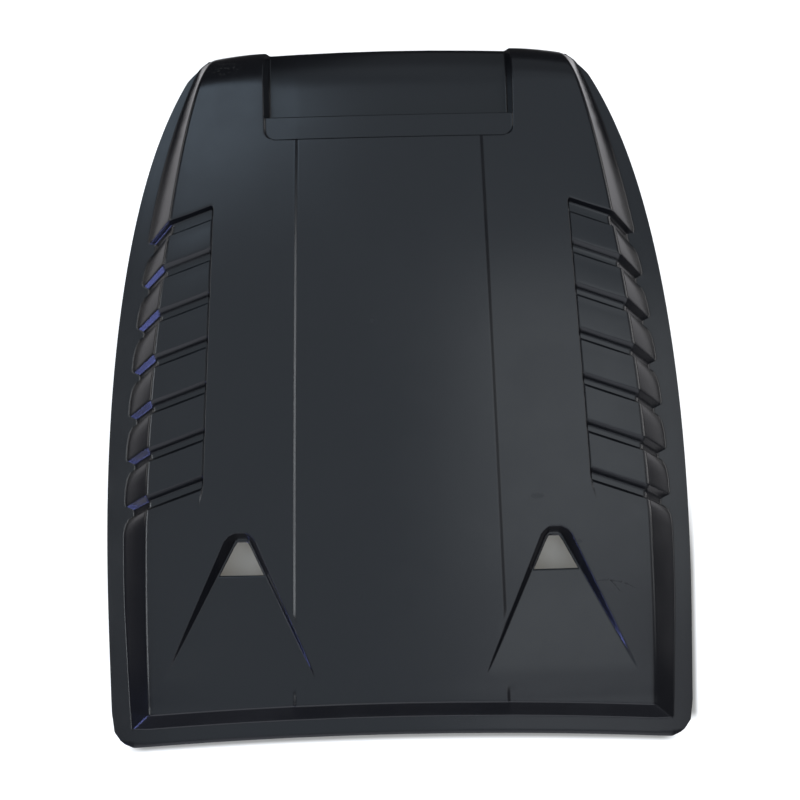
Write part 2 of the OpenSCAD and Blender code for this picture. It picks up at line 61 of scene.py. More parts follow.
# %% Sizes of the whole shell
FRONT, REAR, TAPER_END = 521.5, -512.5, 510.0
FLANGE_HALF, FOOT_HALF, SHOULDER_HALF = 434.8, 408.6, 374.6
WALL = 3.0
FLANGE_THICKNESS = 3.0
REAR_CORNER_RADIUS = 40.0
CROSS_RADIUS, LONG_RADIUS, CREST_Y = 5000.0, 6500.0, -61.0
FRONT_HEIGHT, REAR_HEIGHT, RISE_POWER = 52.0, 22.0, 0.75
PANEL_RAISE, PANEL_STEP = 1.6, 5.2
PANEL_FRONT_HALF, PANEL_REAR_HALF = 133.5, 157.0
PANEL_STOP, PANEL_BLEND = -300.0, 60.0  # behind it the panel's step is this wide on the ramps
PANEL_RETURN_SHARE = 0.6  # the step is whole again this share of the way to the rear slope
REAR_FLANGE, REAR_SLOPE_RUN, REAR_BOW = 26.6, 25.6, 17.5
RIM_ANGLES, FOOT_ANGLE = (22.5, 45.0, 56.0), 78.0  # points round the rear corner, in degrees
FOOT_SHARE = 0.6  # where the last foot but one lies between its neighbours
MITRE_STEP = 2.0
SLACK = 1.0  # lets an edge's own row or column into a test on its place

REAR_EDGE = REAR_BOW + REAR
SLOPE_FOOT = REAR_EDGE + REAR_FLANGE
SLOPE_TOP = SLOPE_FOOT + REAR_SLOPE_RUN
print("rear slope from", SLOPE_TOP, "to", SLOPE_FOOT)

# %% Sizes of the mouth and the nose
MOUTH_HALF, MOUTH_WALL_RUN, MOUTH_FLOOR = 180.3, 5.3, 15.0
LIP_FRONT, LIP_REAR, LIP_DROP = 413.6, 379.7, 2.5
LIP_STEP_RUN, LIP_WALL_RUN, LIP_CORNER = 1.4, 2.6, 13.0
NOSE_REACH, FLOOR_BOW, TIP_FLANGE = 60.0, 3.3, 1.5
ARM_BOW, ARM_STEP, ARM_WIDTH, ARM_POWER = 7.4, 0.6, 78.0, 1.8
print("mouth", 2 * MOUTH_HALF, "wide,", FRONT - LIP_REAR, "long")

# %% Sizes of the louvres
GROOVES, FIRST_GROOVE, PITCH, PITCH_GROWTH = 7, 267.3, 59.4, 2.3
GROOVE_DEPTH, GROOVE_FLOOR, GROOVE_STEP_RUN = 9.5, 13.4, 2.8
MIDDLE_WALL_RUN, END_WALL_RUN, FIRST_SLOPE_RUN, GROOVE_SLOPE_RUN = 3.6, 6.2, 5.6, 10.0
SLAT_FRONT_DROP, SLAT_REAR_DROP = 1.7, 0.8
END_ROUND, END_EASE = 5.5, 0.45  # rounding of a groove's end, and its share down at the floor
BANK_FRONT_HALF, BANK_REAR_HALF, BANK_WALL_RUN, BANK_CLEARANCE = 256.0, 281.5, 2.0, 5.0
BANK_LINE_WIDTH, BANK_LINE_DEPTH = 1.4, 1.8  # fine groove along the inner ends of the slats
TOP_SLANT, FIRST_SIDE_SLANT, LAST_SIDE_SLANT = 0.35, 0.86, 0.5

groove_index = np.arange(GROOVES)
growth = PITCH_GROWTH * groove_index * (groove_index - 1) / 2
groove_y = FIRST_GROOVE - groove_index * PITCH - growth
from_middle = groove_index / ((GROOVES - 1) / 2) - 1
wall_run = MIDDLE_WALL_RUN + (END_WALL_RUN - MIDDLE_WALL_RUN) * from_middle**2
groove_front = groove_y + GROOVE_STEP_RUN + GROOVE_FLOOR + wall_run
slope_run = np.where(groove_index == 0, FIRST_SLOPE_RUN, GROOVE_SLOPE_RUN)
LAST_GROOVE, BANK_FRONT = groove_y[-1], groove_front[0]
print("groove rear edges:", np.round(groove_y, 1))

# %% Sizes of the vents
VENT_FRONT, VENT_REAR, VENT_DEPTH, VENT_LEAN = -188.0, -402.0, 22.0, 22.0
VENT_FRONT_INNER, VENT_FRONT_OUTER = 213.0, 247.2
VENT_REAR_INNER, VENT_REAR_OUTER = 125.0, 348.6
VENT_FRONT_RUN, HOLE_REAR, HOLE_MARGIN, VENT_ROUND = 10.5, -252.5, 3.2, 4.5
HOLE_BLEND = -150.0  # from here back to the vent, the columns draw in to the hole's margin
LEG_TIP_WALL, LEG_SLANT = 1.5, 1.09  # a wall's width at its tip, and how its slant widens it
OUTER_WALL = 1.35  # the outer walls of the vents lean more than the inner ones
INNER_NOTCH = 0.7  # share of a wall's width by which the front wall is narrower on the inner side
OUTER_NOTCH = 1.15  # and on the outer side, in inner notches
PLAIN_OUTER, PLAIN_INNER = 18.0, 36.0  # two plain columns by the louvres, inside their ends
RAMP_INNER, RAMP_OUTER = 90.0, 50.0  # how far inside the legs' tips two columns run on
PANEL_RETURN = VENT_REAR + PANEL_RETURN_SHARE * (SLOPE_TOP - VENT_REAR)
print("panel's step whole again at", round(PANEL_RETURN, 1))

# %% [markdown]
# ## Curves in plan and height
#
# The scoop narrows towards the nose, slowly at first and then quickly, as a car's bonnet does. A
# drawn Bezier curve would need handles for each edge. Powers of the share of the way to the nose
# say the same in a few numbers, and give the half width anywhere, which the slanting louvres need.


# %% Shares and mixtures
def between(value, start, end):
    """(value - start) / (end - start), held between 0 and 1."""
    return np.clip((value - start) / (end - start), 0.0, 1.0)


def mix(a, b, share):
    """a + (b - a) * share."""
    return a + (b - a) * share


print("a quarter of the way:", between(2.5, 0, 10))

# %% Outlines of the three long edges
# sizes and powers of what each edge loses towards the nose; the shoulder has no tip term
FLANGE_TAPER = dict(start=-350, terms=((115, 2.42), (38, 8.6)), tip=30, tip_term=(14, 1.5))
FOOT_TAPER = dict(start=-300, terms=((104, 2.03), (29, 7.5)), tip=10, tip_term=(7, 1.5))
SHOULDER_TAPER = dict(start=-500, terms=((104, 2.44), (14, 18)), tip=1, tip_term=(0, 1))
FOOT_REAR_LOSS, FOOT_REAR_START, FOOT_REAR_END = 4, -300, -500


def tapered(widest, y, start, terms, tip, tip_term):
    """widest - size * t^power for each term, t running from 0 at start to 1 at the nose, and less
    size * s^power for the tip term, where s = (y - nose + tip) / tip over the last tip mm."""
    t, s = between(y, start, TAPER_END), np.maximum(y - TAPER_END + tip, 0) / tip
    for size, power in terms:
        widest = widest - size * t**power
    size, power = tip_term
    return widest - size * s**power


def flange_half(y):
    """Half width to the rim of the flange."""
    return tapered(FLANGE_HALF, y, **FLANGE_TAPER)


def foot_half(y):
    """Half width to the foot of the side slope, which is 4 mm less at the very rear."""
    narrower = FOOT_REAR_LOSS * between(y, FOOT_REAR_START, FOOT_REAR_END)
    return tapered(FOOT_HALF, y, **FOOT_TAPER) - narrower


def shoulder_half(y):
    """Half width to the shoulder, where the top bends down into the side slope."""
    return tapered(SHOULDER_HALF, y, **SHOULDER_TAPER)


print("half widths at the first groove:",
      [round(float(edge(FIRST_GROOVE)), 1) for edge in (flange_half, foot_half, shoulder_half)])

# %% The rear corner and the bonnet below
corner_centre = np.array([FLANGE_HALF - REAR_CORNER_RADIUS, REAR_CORNER_RADIUS + REAR])


def rear_corner(degrees):
    """A point on the flange's rounded rear corner: centre + radius * (cos, -sin)."""
    angle = math.radians(degrees)
    return corner_centre + REAR_CORNER_RADIUS * np.array([math.cos(angle), -math.sin(angle)])


def bonnet_fall(x, y):
    """x^2 / 2R across plus (y - crest)^2 / 2R along: how far the bonnet falls from its crest."""
    return x**2 / (2 * CROSS_RADIUS) + (y - CREST_Y) ** 2 / (2 * LONG_RADIUS)


CREST = max(bonnet_fall(foot_half(TAPER_END) + TIP_FLANGE, TAPER_END),
            bonnet_fall(*rear_corner(45.0)))


def bonnet(x, y):
    """Height of the bonnet surface: crest - fall, zero at the lowest point under the shell."""
    return CREST - bonnet_fall(x, y)


print("the bonnet's crest is", round(CREST, 1), "above the shell's lowest corner")


# %% Heights and slants along the scoop
def rise(y):
    """Height of the top above the bonnet: 22 mm at the rear + 30 mm * t^0.75 to the nose."""
    return mix(REAR_HEIGHT, FRONT_HEIGHT, between(y, SLOPE_TOP, TAPER_END) ** RISE_POWER)


def panel_half(y):
    """Half width of the raised middle panel, in a straight line from rear to front."""
    return mix(PANEL_REAR_HALF, PANEL_FRONT_HALF, between(y, SLOPE_TOP, LIP_REAR))


def slant_share(y):
    """How much of the louvre slant a row has: 1 over the louvres, 0 at the nose and rear."""
    front = between(y, LIP_FRONT + GROOVE_FLOOR, BANK_FRONT)
    return np.minimum(front, between(y, SLOPE_TOP, LAST_GROOVE))


def side_slant(y):
    """Slant of the rows down the side, 0.5 back per unit across at the rear to 0.86 in front."""
    return mix(LAST_SIDE_SLANT, FIRST_SIDE_SLANT, between(y, LAST_GROOVE, FIRST_GROOVE))


def bank_half(y):
    """Half width to the inner ends of the grooves, spreading round the vents behind them."""
    front = mix(BANK_REAR_HALF, BANK_FRONT_HALF,
                (y - LAST_GROOVE) / (BANK_FRONT - LAST_GROOVE))
    rear = mix(BANK_REAR_HALF, VENT_REAR_OUTER + BANK_CLEARANCE, between(y, LAST_GROOVE, VENT_REAR))
    return np.where(y > LAST_GROOVE, front, rear)


print("height at the first groove:", round(float(rise(FIRST_GROOVE)), 1))

# %% [markdown]
# ## Rows
#
# Going back from the nose, the moulding changes at certain places: the lip, each louvre's step and
# slope, the vents, the rear slope. Each such edge is a row of the net, and plain rows fill the
# stretches between. Modelling each louvre by hand and copying it would be quicker for one, but
# here all seven have their own place and spread, so a loop writes their rows.

# %% What a row holds
FIELDS = {
    "y": "place along the scoop in mm",
    "angle": "degrees round the rolled nose",
    "mouth": "1 where the mouth is sunk to its floor",
    "lip": "1 where the lip is sunk",
    "lip_corner": "how far in the lip's rounded corner has come, in radii",
    "dip": "how deep the slats and grooves are, as a share of a groove's depth",
    "end": "how far the row bends at a groove's end, as a share of END_ROUND",
    "tuck": "how far the foot of the side steps in behind a groove, in mm",
    "vent": "1 where the vent's ramp is sunk",
    "top_bend": "1 where the vent's top edge turns its corner",
    "foot_bend": "1 where the foot of the vent's walls turns its corner",
    "hole_bend": "1 where the hole turns its corner",
    "bow": "share of the rear bow",
    "flange": "1 on the rear flange",
    "round": "radius of the edge along the row, in mm",
}


def row(y, **switches):
    """One row as a list of numbers in the order of FIELDS; what isn't named is 0."""
    values = dict.fromkeys(FIELDS, 0.0) | {"y": y} | switches
    return list(values.values())


def plain_rows(start, end, count, **switches):
    """Rows at even steps from start to end."""
    return [row(y, **switches) for y in np.linspace(start, end, count)]


print(len(FIELDS), "numbers in a row")

# %% Rows of the nose, the mouth and the lip
NOSE_ROWS, LIP_GAP, BANK_GAP = 19, 8, 14  # plain rows keep a gap to the next edge
LIP_CORNER_ROWS = (1.3, 1.0, 0.62, 0.3, 0.08)  # rows through the corner, in radii from its end

level_y = FRONT - NOSE_REACH
table = [row(level_y + NOSE_REACH * math.sin(math.radians(angle)), angle=angle, mouth=1)
         for angle in np.linspace(90, 0, NOSE_ROWS)]
table += plain_rows(level_y, LIP_FRONT + LIP_GAP, 4, mouth=1)[1:]
table += [row(LIP_FRONT + LIP_WALL_RUN, mouth=1, round=3), row(LIP_FRONT, lip=1, round=1.4)]
for radii in LIP_CORNER_ROWS:
    quarter_turn = 1 - math.sin(math.acos(1 - min(radii, 1.0)))
    table.append(row(LIP_REAR + LIP_STEP_RUN + LIP_CORNER * radii, lip=1, lip_corner=quarter_turn))
table += [row(LIP_REAR + LIP_STEP_RUN, lip=1, round=0.5, lip_corner=1),
          row(LIP_REAR, round=0.7, lip_corner=1)]
table += plain_rows(LIP_REAR - LIP_GAP, BANK_FRONT + BANK_GAP, 6)
print(len(table), "rows to the first louvre")

# %% Rows of the louvres
front_dip, rear_dip = SLAT_FRONT_DROP / GROOVE_DEPTH, SLAT_REAR_DROP / GROOVE_DEPTH
SLAT_PLACES, SLAT_TUCKS = (5, 11, 22), (2.0, 0.7, 0.0)  # the slat's rows, behind its front edge
SLAT_DIPS = (front_dip, front_dip, front_dip * 0.9, rear_dip * 1.3)
LAST_SLAT_DIPS = (front_dip * 0.7, front_dip * 0.6, front_dip * 0.35, 0.0)
EDGE_TUCK, SLAT_REAR_TUCK, SLAT_REAR_ROW = 5.5, 2.0, 5

for index, rear, run, front in zip(groove_index, groove_y, slope_run, groove_front):
    before = rear_dip if index > 0 else 0.0
    edge_dip, *slat_dips = LAST_SLAT_DIPS if index == GROOVES - 1 else SLAT_DIPS
    table += [row(front + SLAT_REAR_ROW, dip=before),
              row(front, dip=before, round=1.4, end=-1, tuck=SLAT_REAR_TUCK),
              row(front - run, dip=1, round=3.0, end=-END_EASE),
              row(rear + GROOVE_STEP_RUN, dip=1, round=0.8, end=END_EASE),
              row(rear, dip=edge_dip, round=0.7, end=1, tuck=EDGE_TUCK)]
    table += [row(rear - place, dip=dip, tuck=tuck)
              for place, dip, tuck in zip(SLAT_PLACES, slat_dips, SLAT_TUCKS)]
print(len(table), "rows to the last louvre")

# %% Rows of the vents, the rear slope and the flange
SLAT_END, WALL_GAP, HOLE_GAP, RAMP_GAP, RAMP_END_GAP = 32, 4, 8, 3, 10
FRONT_WALL_GAP, FLANGE_ROW = 24, 9
BOW_SHARES = (0.3, 0.6, 0.8, 0.95)

vent_foot = VENT_FRONT - VENT_FRONT_RUN
table += plain_rows(LAST_GROOVE - SLAT_END, VENT_FRONT + WALL_GAP, 3)
table += [row(VENT_FRONT, round=1.8, top_bend=1),
          row(vent_foot, vent=1, round=1.6, foot_bend=1)]
hole_start = len(table)
table += [row(vent_foot - HOLE_MARGIN, vent=1, hole_bend=1)]
table += plain_rows(VENT_FRONT - FRONT_WALL_GAP, HOLE_REAR + HOLE_GAP, 3, vent=1)
hole_rows = (hole_start, len(table))
table += [row(HOLE_REAR, vent=1)]
table += plain_rows(HOLE_REAR - RAMP_GAP, VENT_REAR + RAMP_END_GAP, 14, vent=1)
table += plain_rows(VENT_REAR, PANEL_RETURN, 5)
table += [row(y, bow=share) for y, share in
          zip(np.linspace(PANEL_RETURN - WALL_GAP, SLOPE_TOP + WALL_GAP, 4), BOW_SHARES)]
table += [row(SLOPE_TOP, bow=1, round=2.5), row(SLOPE_FOOT, bow=1, flange=1, round=2.0),
          row(REAR_EDGE + FLANGE_ROW, bow=1, flange=1), row(REAR_EDGE, bow=1, flange=1)]

field = dict(zip(FIELDS, np.array(table).T))
print(len(table), "rows, hole between rows", hole_rows)

# %% [markdown]
# ## Columns
#
# The long edges are the panel's sides, the walls of the mouth, the inner ends of the louvres, the
# shoulder, the foot and the rim. The mouth and the vents are never in the same row, so the same
# columns serve both: what is the mouth's wall in front becomes the vent's wall further back. Only
# one half is worked out, and the other is its mirror image.

# %% The columns of one half
COLUMNS = ["middle", "panel_middle", "panel_inner", "panel_outer", "wall_inner", "wall_outer",
           "hole_inner", "hole_outer", "leg_foot", "leg_edge", "bank_edge", "bank_foot",
           "bank_round", "slat_middle", "shoulder", "foot", "flange_middle", "rim"]
COL = {name: k for k, name in enumerate(COLUMNS)}


def leg_inner(y):
    """Half width of the mouth wall's foot, then of the inner top edge of the vent, then twice as
    fast back out past the panel, in straight lines."""
    front = mix(MOUTH_HALF - MOUTH_WALL_RUN, VENT_FRONT_INNER, between(y, LIP_FRONT, VENT_FRONT))
    leg = mix(VENT_FRONT_INNER, VENT_REAR_INNER, between(y, VENT_FRONT, VENT_REAR))
    behind = mix(VENT_REAR_INNER, PANEL_REAR_HALF + 2 * PANEL_STEP,
                 np.minimum(2 * between(y, VENT_REAR, PANEL_RETURN), 1))
    return np.where(y > VENT_FRONT, front, np.where(y >= VENT_REAR, leg, behind))


def leg_outer(y):
    """Half width of the outer top edge of the vent, and of the plain column in front of it."""
    front = mix(bank_half(y) - PLAIN_OUTER, VENT_FRONT_OUTER, between(y, LIP_FRONT, VENT_FRONT))
    leg = mix(VENT_FRONT_OUTER, VENT_REAR_OUTER, between(y, VENT_FRONT, VENT_REAR))
    return np.where(y > VENT_FRONT, front, leg)


def vent_sink(y):
    """Depth of the ramp: full at the front wall's foot, zero where it meets the top."""
    return VENT_DEPTH * between(y, VENT_REAR, vent_foot)


def vent_wall(y):
    """Width of the leaning vent wall across: 1.5 mm + depth * tan(lean) * slant * share of way."""
    across = VENT_DEPTH * math.tan(math.radians(VENT_LEAN)) * LEG_SLANT
    return LEG_TIP_WALL + across * between(y, VENT_REAR, VENT_FRONT)


print(len(COLUMNS), "columns, vent wall", round(float(vent_wall(VENT_FRONT)), 1), "wide in front")


# %% Half widths from the middle to the bank edge
def wall_columns(y, leg_in, leg_out, bank):
    """Half widths of the two feet of the vent's walls. In front of the vent they run straight to
    its corners, beside it they keep a wall's width from its edges, and behind it they spread."""
    ahead, behind = between(y, LIP_REAR, VENT_FRONT), between(y, VENT_REAR, PANEL_RETURN)
    in_front, width = y >= VENT_FRONT, vent_wall(y)
    inner_notch = vent_wall(VENT_FRONT) * INNER_NOTCH
    inner = np.where(in_front, mix(MOUTH_HALF, VENT_FRONT_INNER + inner_notch, ahead),
                     mix(leg_in + width, VENT_REAR_INNER + RAMP_INNER, behind))
    outer_notch = OUTER_NOTCH * inner_notch
    outer = np.where(in_front, mix(bank - PLAIN_INNER, VENT_FRONT_OUTER - outer_notch, ahead),
                     mix(leg_out - OUTER_WALL * width, VENT_REAR_OUTER - RAMP_OUTER, behind))
    return inner, outer


def inner_columns(y):
    """Half widths of the columns from the middle to the bank edge, one line for each row."""
    leg_in, leg_out, bank, half = leg_inner(y), leg_outer(y), bank_half(y), panel_half(y)
    wall_outer, leg_foot = wall_columns(y, leg_in, leg_out, bank)
    wall_inner = np.where(field["lip"] == 1, MOUTH_HALF - LIP_STEP_RUN, leg_in)
    cut_corner = LIP_CORNER * field["lip_corner"]
    wall_inner, wall_outer = wall_inner - cut_corner, wall_outer - cut_corner
    near_hole = np.minimum(between(y, HOLE_BLEND, VENT_FRONT), between(y, VENT_REAR, HOLE_REAR))
    margin = mix((leg_foot - wall_outer) / 3, HOLE_MARGIN, near_hole)
    return np.stack([
        0 * y,
        0.5 * (half - PANEL_STEP / 2),
        np.minimum(half - PANEL_STEP / 2, leg_in - 2 * PANEL_STEP),
        np.minimum(half + PANEL_STEP / 2, leg_in - PANEL_STEP),
        wall_inner,
        wall_outer,
        wall_outer + margin,
        leg_foot - margin,
        leg_foot,
        leg_out,
        bank,
    ], axis=1)


inner_x = inner_columns(field["y"])
print("inner columns:", inner_x.shape)


# %% Where the rows run between those columns
def nose_fall(x):
    """How far the nose lies behind its middle: bow * (x / half)^2 over the mouth's floor, and
    step + bow * (x past the mouth / width)^1.8 over the arms."""
    floor = FLOOR_BOW * (x / (MOUTH_HALF - MOUTH_WALL_RUN)) ** 2
    arm = ARM_STEP + ARM_BOW * (np.maximum(x - MOUTH_HALF, 0) / ARM_WIDTH) ** ARM_POWER
    return np.where(x > MOUTH_HALF - SLACK, arm, floor)


def along(x):
    """y of the rows at half widths x: y - nose_fall * share near the nose - bow * (x / foot)^2."""
    shape = (-1,) + (1,) * (x.ndim - 1)
    y, bow = field["y"].reshape(shape), field["bow"].reshape(shape)
    nose = between(y, LIP_FRONT + LIP_WALL_RUN, FRONT)
    return y - nose_fall(x) * nose - bow * REAR_BOW * (x / FOOT_HALF) ** 2


# each vent corner is rounded in plan: its column bends back by a share of the radius
VENT_BENDS = {"wall_inner": ("top_bend", 1.0), "leg_edge": ("top_bend", 1.0),
              "wall_outer": ("foot_bend", 0.6), "leg_foot": ("foot_bend", 0.6),
              "hole_inner": ("hole_bend", 0.5), "hole_outer": ("hole_bend", 0.5)}

inner_y = along(inner_x)
groove_end = field["end"] * END_ROUND
inner_y[:, COL["bank_edge"]] += groove_end
for name, (bend, share) in VENT_BENDS.items():
    inner_y[:, COL[name]] -= share * VENT_ROUND * field[bend]
print("rows reach from", round(inner_y.max(), 1), "to", round(inner_y.min(), 1))

# %% [markdown]
# Beyond the inner ends of the louvres, the rows slant back over the slats and run more steeply
# down the side, as the real louvres do. A groove has to keep its depth where the surface bends
# down. A groove cut to depth d moves the foot in by d / sin(slope), and the shoulder by
# d / sin(slope) - d / tan(slope). That is worked out here instead of guessed.

# %% The shoulder, the foot and the rim
y, slant, bank = field["y"], slant_share(field["y"]), bank_half(field["y"])


def slanted(x):
    """y of the rows at half widths x over the slats: along - slant * distance past the bank."""
    return along(x) - slant * TOP_SLANT * (x - bank)


level_shoulder = shoulder_half(y)
shoulder_y = slanted(level_shoulder)
slope_height = rise(shoulder_y) - FLANGE_THICKNESS
lean = (foot_half(shoulder_y) - shoulder_half(shoulder_y)) / slope_height
deep = field["dip"] * GROOVE_DEPTH
inset = deep * np.sqrt(1 + lean**2)
shoulder_x = shoulder_half(shoulder_y) - inset + deep * lean
side_run = foot_half(shoulder_y) - inset - field["tuck"] - shoulder_x
foot_y = shoulder_y - slant * side_slant(y) * side_run
nose_bend = nose_fall(foot_half(foot_y)) - nose_fall(level_shoulder)
foot_y -= nose_bend * between(y, LIP_FRONT, FRONT)
foot_x = foot_half(foot_y) - inset - field["tuck"]
rim_x, rim_y = np.maximum(flange_half(foot_y), foot_x + TIP_FLANGE), foot_y.copy()
print("grooves move the foot in by up to", round(float(inset.max()), 1))

# %% The rear corner
corner_rows = np.flatnonzero(field["flange"])
for k, degrees in zip(corner_rows, RIM_ANGLES):
    rim_x[k], rim_y[k] = rear_corner(degrees)
foot_x[-1], foot_y[-1] = rear_corner(FOOT_ANGLE)
for line in (foot_x, foot_y):
    line[-2] = mix(line[-3], line[-1], FOOT_SHARE)
# the shoulder runs down to the corner of the foot, so side slope and rear slope meet in a mitre
shoulder_x[corner_rows] = foot_x[corner_rows] - MITRE_STEP
shoulder_y[corner_rows] = foot_y[corner_rows]
print("rear corner of the rim:", rim_x[-1].round(1), rim_y[-1].round(1))

# %% The whole half net in plan
bank_foot_x = bank + BANK_WALL_RUN
bank_round_x = bank + BANK_WALL_RUN + BANK_LINE_WIDTH
slat_x = (bank_round_x + shoulder_x) / 2
outer_x = np.stack([bank_foot_x, bank_round_x, slat_x, shoulder_x, foot_x,
                    (foot_x + rim_x) / 2, rim_x], axis=1)
outer_y = np.stack([slanted(bank_foot_x) + END_EASE * groove_end, slanted(bank_round_x),
                    slanted(slat_x), shoulder_y, foot_y, (foot_y + rim_y) / 2, rim_y], axis=1)
half_x = np.concatenate([inner_x, outer_x], axis=1)
half_y = np.concatenate([inner_y, outer_y], axis=1)
print("half net:", half_x.shape)

# %% [markdown]
# ## Heights
#
# Every flat of the moulding lies at some height over the bonnet, because the real one is drawn as
# a layer on it. So the plan and the height are kept apart: a node's level is the top surface with
# its raised panel, less the mouth, lip, groove or ramp, and the bonnet's own curve is added last.
# Sculpting or a displacement map would blur these steps.

# %% Heights of the half net
column = np.arange(len(COLUMNS))[None, :]


def of_rows(name):
    """One number of every row, stood up so that it meets the columns."""
    return field[name][:, None]


def panel_height():
    """raise * (0.5 - (x - half) / width), the bracket held between 0 and 1, and 0 in front of the
    lip's rear edge. The width is a narrow step, widened on the vents' ramps, and it narrows to
    the step again behind them."""
    on_ramp = (column >= COL["wall_outer"]) & (half_y < PANEL_STOP) | (half_y < VENT_REAR)
    narrowing = np.maximum(2 * between(half_y, VENT_REAR, PANEL_RETURN) - 1, 0)
    width = np.where(on_ramp, mix(PANEL_BLEND, PANEL_STEP, narrowing), PANEL_STEP)
    raised = PANEL_RAISE * np.clip(0.5 - (half_x - panel_half(half_y)) / width, 0, 1)
    return np.where(of_rows("y") > LIP_REAR + LIP_STEP_RUN / 2, 0, raised)


def levels():
    """Height above the bonnet: (top + panel - what is sunk there) * cos(nose angle), and the
    flange's thickness from the foot outwards."""
    height = rise(half_y) + panel_height()
    pocket = column <= COL["wall_inner"]
    height = np.where((of_rows("mouth") == 1) & pocket, MOUTH_FLOOR, height)
    height = np.where((of_rows("lip") == 1) & pocket, height - LIP_DROP, height)
    height = height - np.where(column >= COL["bank_foot"], of_rows("dip") * GROOVE_DEPTH, 0)
    lined = (field["dip"] > 0) & (field["y"] > LAST_GROOVE - SLACK)
    height[:, COL["bank_foot"]] -= BANK_LINE_DEPTH * lined
    on_ramp = (column >= COL["wall_outer"]) & (column <= COL["leg_foot"])
    height = height - vent_sink(of_rows("y")) * of_rows("vent") * on_ramp
    height = height * np.cos(np.radians(of_rows("angle")))
    return np.where((column >= COL["foot"]) | (of_rows("flange") == 1), FLANGE_THICKNESS, height)


half_z = bonnet(half_x, half_y) + levels()
print("highest point:", round(float(half_z.max()), 1))

# %% Both halves
right_half = np.stack([half_x, half_y, half_z], axis=2)
left_half = right_half[:, :0:-1] * np.array([-1, 1, 1])
outer_net = np.concatenate([left_half, right_half], axis=1)
side_of = np.concatenate([np.arange(len(COLUMNS) - 1, 0, -1), np.arange(len(COLUMNS))])
print("full net:", outer_net.shape)

# %% [markdown]
# ## Inner skin
#
# A moulding has nearly the same wall everywhere. Solidify would give it one too, but it may spike
# or fold in the grooves' narrow corners. Here each node moves in along the mean of the normals of
# the faces round it, by the wall divided by the cosine between that mean and the face that leans
# most from it. The cosine has a lower limit, so that no node runs away.

# %% The inner skin
TINY, TINY_AREA = 1e-9, 1e-12  # keep a division by a length or an area from failing
LEAST_COSINE = 0.5


def cell_normals(net):
    """Unit normal of each cell: the cross product of its diagonals, upwards."""
    a, b = net[:-1, 1:] - net[1:, :-1], net[:-1, :-1] - net[1:, 1:]
    normal = np.cross(a, b)
    return normal / np.maximum(np.linalg.norm(normal, axis=2, keepdims=True), TINY)


def inner_skin(net, open_cells):
    """node - mean normal * wall / least cosine; its four edges are set down on the bonnet."""
    normal = cell_normals(net)
    normal[open_cells] = 0
    padded = np.zeros((net.shape[0] + 1, net.shape[1] + 1, 3))
    padded[1:-1, 1:-1] = normal
    around = np.stack([padded[:-1, :-1], padded[:-1, 1:], padded[1:, :-1], padded[1:, 1:]])
    mean = around.sum(axis=0)
    mean /= np.maximum(np.linalg.norm(mean, axis=2, keepdims=True), TINY)
    cosine = (around * mean).sum(axis=3)
    cosine[np.linalg.norm(around, axis=3) == 0] = 1
    least = np.clip(cosine.min(axis=0), LEAST_COSINE, 1)
    moved = net - mean * (WALL / least)[..., None]
    for edge in (np.s_[0, :], np.s_[-1, :], np.s_[:, 0], np.s_[:, -1]):
        moved[edge][..., 2] = bonnet(moved[edge][..., 0], moved[edge][..., 1])
    return moved


open_cells = np.zeros((outer_net.shape[0] - 1, outer_net.shape[1] - 1), bool)
cell_side = np.minimum(side_of[:-1], side_of[1:])
open_cells[slice(*hole_rows)] = (cell_side >= COL["hole_inner"]) & (cell_side < COL["hole_outer"])
inner_net = inner_skin(outer_net, open_cells)
print("open cells:", int(open_cells.sum()))

# %% [markdown]
# ## Rounded edges
#
# No moulded edge is sharp, and its thin highlight shows that. A Bevel modifier would give all of
# them one width. Here a line of the net with a radius is replaced by the quadratic Bezier arc
# (1-t)^2 A + 2t(1-t) P + t^2 B, where A and B lie that far from the node P towards its
# neighbours. Rows and columns are rounded one after the other, so corners come out round too.

# %% Rounding
ARC_STEPS = np.linspace(0, 1, 4)
ARC_REACH = 0.46  # an arc takes at most this share of the way to a neighbour
COLUMN_ROUND = {"panel_inner": 1.5, "panel_outer": 1.5, "wall_inner": 2.0, "wall_outer": 2.0,
                "leg_foot": 1.8, "leg_edge": 1.8, "bank_edge": 0.9, "bank_foot": 1.1,
                "shoulder": 4.5, "foot": 2.0, "rim": 1.0}


def arc_lines(net, k, radius):
    """The lines that stand for line k: (1-t)^2 A + 2t(1-t) P + t^2 B for each step t."""
    here, ends = net[k], []
    for other in (net[k - 1], net[(k + 1) % len(net)]):
        way = other - here
        length = np.maximum(np.linalg.norm(way, axis=-1, keepdims=True), TINY)
        ends.append(here + way * np.minimum(radius / length, ARC_REACH))
    t = ARC_STEPS[:, None, None]
    return (1 - t) ** 2 * ends[0] + 2 * t * (1 - t) * here + t**2 * ends[1]


def rounded(net, radii, loop):
    """net with each line k of its first axis replaced by an arc where radii[k] is above 0, and
    for each new line the number of the line it came from. An open net keeps its first and last."""
    lines, source = [], []
    for k, radius in enumerate(radii):
        plain = radius <= 0 or (not loop and k in (0, len(net) - 1))
        lines.append(net[k][None] if plain else arc_lines(net, k, radius))
        source += [k] * len(lines[-1])
    return np.concatenate(lines), np.array(source)


column_radii = np.array([COLUMN_ROUND.get(COLUMNS[k], 0.0) for k in side_of])
loop_net = np.concatenate([outer_net, inner_net[:, ::-1]], axis=1)
loop_radii = np.concatenate([column_radii, column_radii[::-1]])
by_column, column_source = rounded(loop_net.transpose(1, 0, 2), loop_radii, loop=True)
skin, row_source = rounded(by_column.transpose(1, 0, 2), field["round"], loop=False)
print("rounded net:", skin.shape)

# %% [markdown]
# ## Faces
#
# The columns of both skins form one closed loop, so the rims close by themselves. Cells over the
# vent holes are left out, which is cleaner than a Boolean cut, and narrow walls join the two skins
# round the holes and along the front and rear edges.


